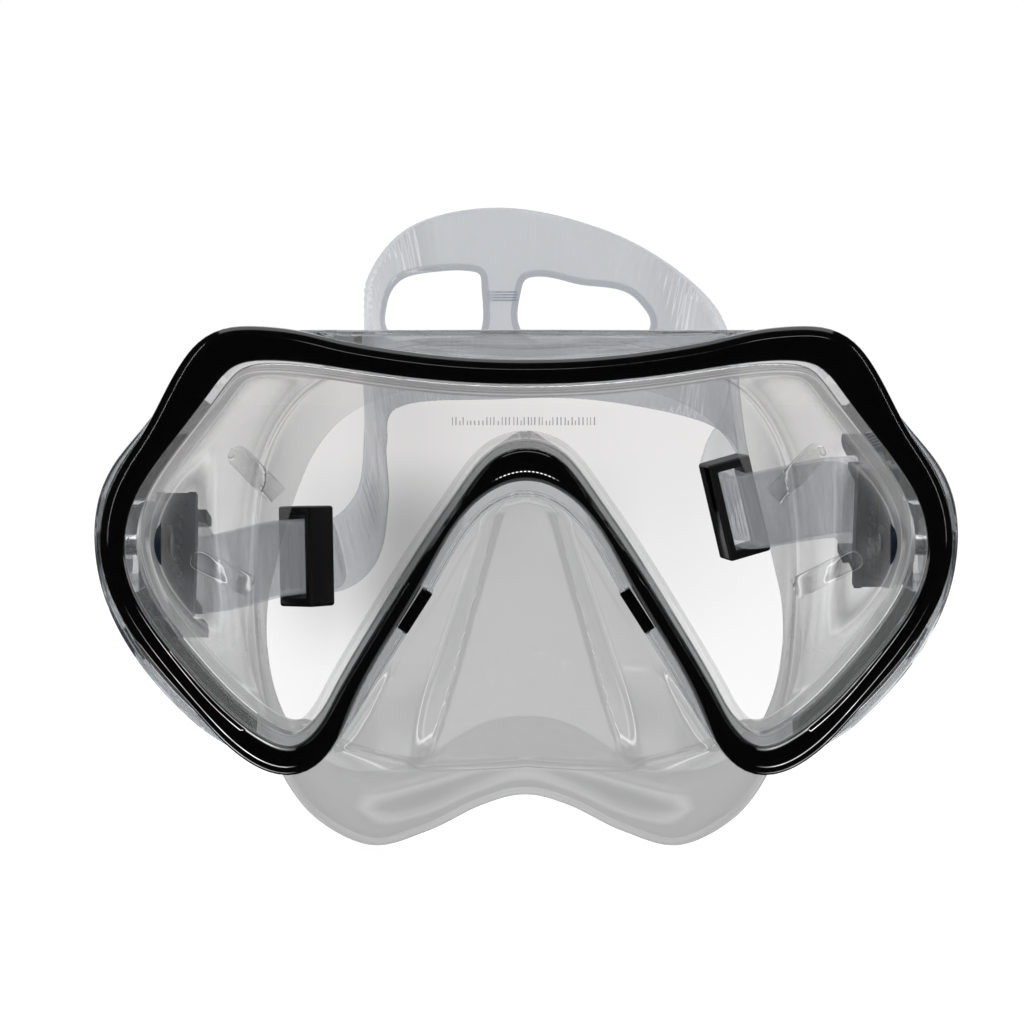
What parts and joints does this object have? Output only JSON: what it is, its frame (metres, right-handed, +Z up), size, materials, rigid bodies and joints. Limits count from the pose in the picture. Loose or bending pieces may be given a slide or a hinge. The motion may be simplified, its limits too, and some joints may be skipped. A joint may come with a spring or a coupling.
{
  "type": "diving mask",
  "caption": "Diving mask: a toughened lens in a black bezel and clear frame, clear silicone skirt with nose pocket, split strap on swivel buckles with squeeze releases.",
  "frame": {"origin": "centre of the flat lens's front face, on the mask's mid-plane", "axes": "-Y out of the lens towards the water, +Y towards the wearer, +X to the right as the mask is seen from the front, +Z up"},
  "size_m": [0.1712, 0.1731, 0.1437],
  "materials": {
    "lens_glass": "clear toughened glass, faint green edge",
    "bezel_black": "gloss black moulded plastic",
    "clear_polycarbonate": "clear polished polycarbonate",
    "clear_silicone": "clear liquid silicone rubber, satin",
    "strap_silicone": "clear liquid silicone rubber, satin, ribbed",
    "buckle_slate": "slate blue-grey moulded acetal",
    "roller_dark": "dark moulded acetal",
    "steel": "stainless steel",
    "keeper_black": "black moulded plastic, fine satin"
  },
  "bodies": {
    "mask": {"lens": "lens_glass", "bezel": "bezel_black", "inner_frame": "clear_polycarbonate", "skirt": "clear_silicone", "pivot_pin_left": "steel", "pivot_pin_right": "steel", "pivot_cap_left": "keeper_black", "pivot_cap_right": "keeper_black"},
    "strap": {"strap": "strap_silicone"},
    "buckle_left": {"buckle_body_left": "buckle_slate", "roller_axle_left": "steel", "tab_pins_left": "steel"},
    "roller_left": {"strap_roller_left": "roller_dark"},
    "upper_tab_left": {"release_tab_upper_left": "buckle_slate"},
    "lower_tab_left": {"release_tab_lower_left": "buckle_slate"},
    "keeper_left": {"strap_keeper_left": "keeper_black"},
    "buckle_right": {"buckle_body_right": "buckle_slate", "roller_axle_right": "steel", "tab_pins_right": "steel"},
    "roller_right": {"strap_roller_right": "roller_dark"},
    "upper_tab_right": {"release_tab_upper_right": "buckle_slate"},
    "lower_tab_right": {"release_tab_lower_right": "buckle_slate"},
    "keeper_right": {"strap_keeper_right": "keeper_black"}
  },
  "joints": [
    {"name": "strap_swing", "type": "hinge", "parent": "mask", "child": "strap", "pos_m": [0, 0.024, 0], "axis": [1, 0, 0], "range_deg": [-15, 45]},
    {"name": "buckle_left_swivel", "type": "hinge", "parent": "mask", "child": "buckle_left", "pos_m": [-0.0775, 0.024, 0], "axis": [1, 0, 0], "range_deg": [-15, 45]},
    {"name": "roller_left_spin", "type": "hinge", "parent": "buckle_left", "child": "roller_left", "pos_m": [-0.0738, 0.04515, -0.00606], "axis": [0, 0.2756, 0.9613], "continuous": true},
    {"name": "release_left_upper", "type": "hinge", "parent": "buckle_left", "child": "upper_tab_left", "pos_m": [-0.0745, 0.03879, 0.00804], "axis": [-1, 0, 0], "range_deg": [0, 4], "stiffness_Nm_per_rad": 0.02},
    {"name": "release_left_lower", "type": "hinge", "parent": "buckle_left", "child": "lower_tab_left", "pos_m": [-0.0745, 0.03228, -0.01465], "axis": [-1, 0, 0], "range_deg": [-4, 0], "stiffness_Nm_per_rad": 0.02},
    {"name": "keeper_left_slide", "type": "slide", "parent": "strap", "child": "keeper_left", "axis": [0.6278, 0.7778, -0.0309], "range_m": [-0.003, 0.003]},
    {"name": "buckle_right_swivel", "type": "hinge", "parent": "mask", "child": "buckle_right", "pos_m": [0.0775, 0.024, 0], "axis": [1, 0, 0], "range_deg": [-15, 45]},
    {"name": "roller_right_spin", "type": "hinge", "parent": "buckle_right", "child": "roller_right", "pos_m": [0.0738, 0.04552, 0.00457], "axis": [0, -0.2079, 0.9781], "continuous": true},
    {"name": "release_right_upper", "type": "hinge", "parent": "buckle_right", "child": "upper_tab_right", "pos_m": [0.0745, 0.03328, 0.01404], "axis": [-1, 0, 0], "range_deg": [0, 4], "stiffness_Nm_per_rad": 0.02},
    {"name": "release_right_lower", "type": "hinge", "parent": "buckle_right", "child": "lower_tab_right", "pos_m": [0.0745, 0.03819, -0.00905], "axis": [-1, 0, 0], "range_deg": [-4, 0], "stiffness_Nm_per_rad": 0.02},
    {"name": "keeper_right_slide", "type": "slide", "parent": "strap", "child": "keeper_right", "axis": [0.2488, -0.9685, -0.0134], "range_m": [-0.003, 0.003]}
  ],
  "couplings": [
    {"joint": "buckle_left_swivel", "follows": "strap_swing", "ratio": 1},
    {"joint": "release_left_lower", "follows": "release_left_upper", "ratio": -1},
    {"joint": "buckle_right_swivel", "follows": "strap_swing", "ratio": 1},
    {"joint": "release_right_lower", "follows": "release_right_upper", "ratio": -1}
  ]
}
